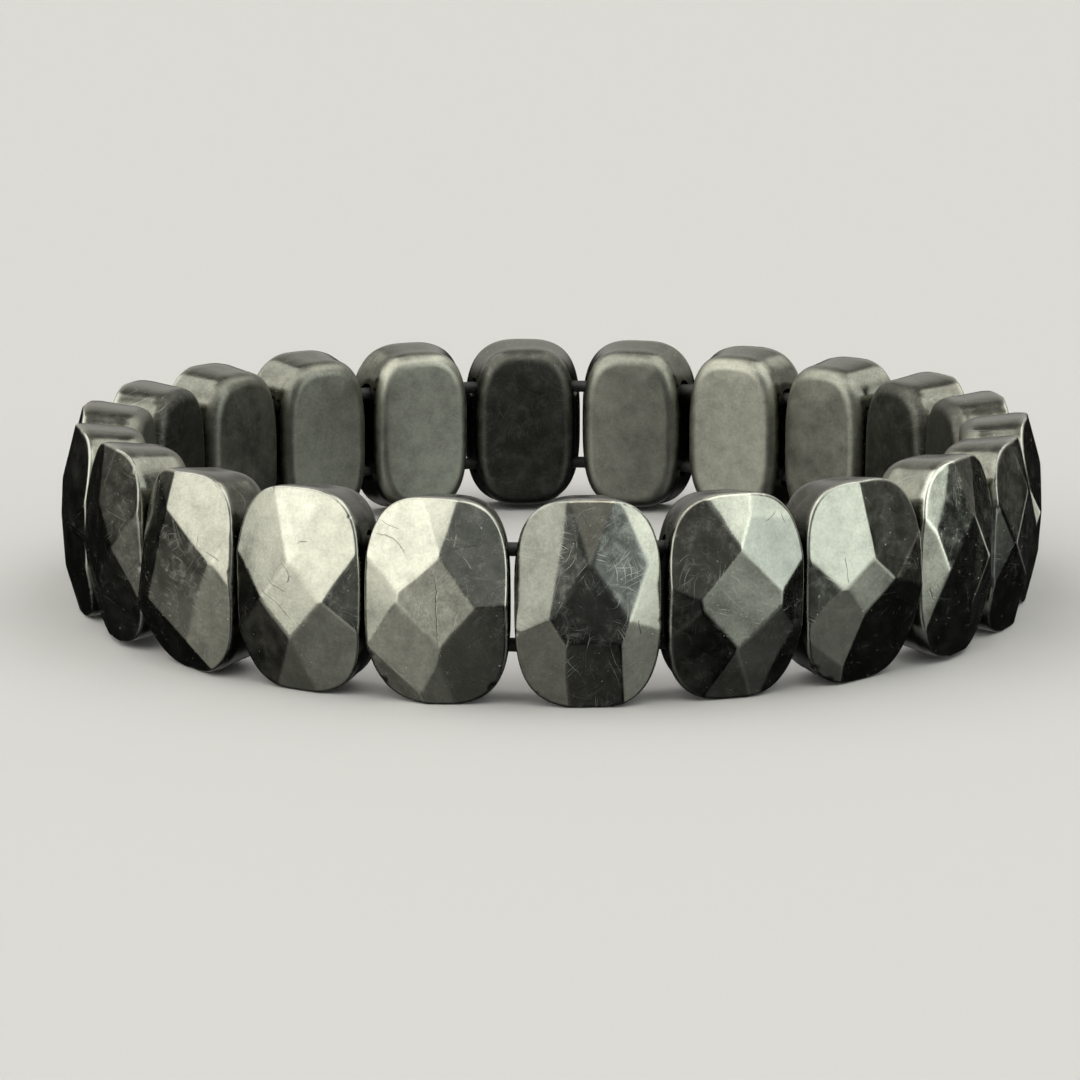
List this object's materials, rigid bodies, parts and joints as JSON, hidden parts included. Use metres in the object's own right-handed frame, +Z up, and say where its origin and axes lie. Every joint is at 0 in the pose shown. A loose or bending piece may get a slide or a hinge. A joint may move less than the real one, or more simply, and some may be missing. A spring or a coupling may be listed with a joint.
{
  "type": "shungite bead bracelet",
  "caption": "Stretch bracelet: a closed ring of faceted shungite plate beads strung side by side on hidden elastic cords, worn round the wrist.",
  "frame": {"origin": "centre of the ring, on the plane that the bracelet rests on", "axes": "+Z up along the ring's axis; -Y points out through the front of the ring, 4 degrees from the middle of bead_01; beads are numbered anticlockwise seen from above"},
  "size_m": [0.0609, 0.0608, 0.0119],
  "materials": {
    "shungite": "polished semi-metallic dark grey stone with ground facets, fine scratches and small pits",
    "elastic": "black stretch cord, satin"
  },
  "bodies": {
    "root": {"bead_01": "shungite", "bead_02": "shungite", "bead_03": "shungite", "bead_04": "shungite", "bead_05": "shungite", "bead_06": "shungite", "bead_07": "shungite", "bead_08": "shungite", "bead_09": "shungite", "bead_10": "shungite", "bead_11": "shungite", "bead_12": "shungite", "bead_13": "shungite", "bead_14": "shungite", "bead_15": "shungite", "bead_16": "shungite", "bead_17": "shungite", "bead_18": "shungite", "bead_19": "shungite", "bead_20": "shungite", "bead_21": "shungite", "bead_22": "shungite", "elastic_upper": "elastic", "elastic_lower": "elastic"}
  },
  "joints": []
}
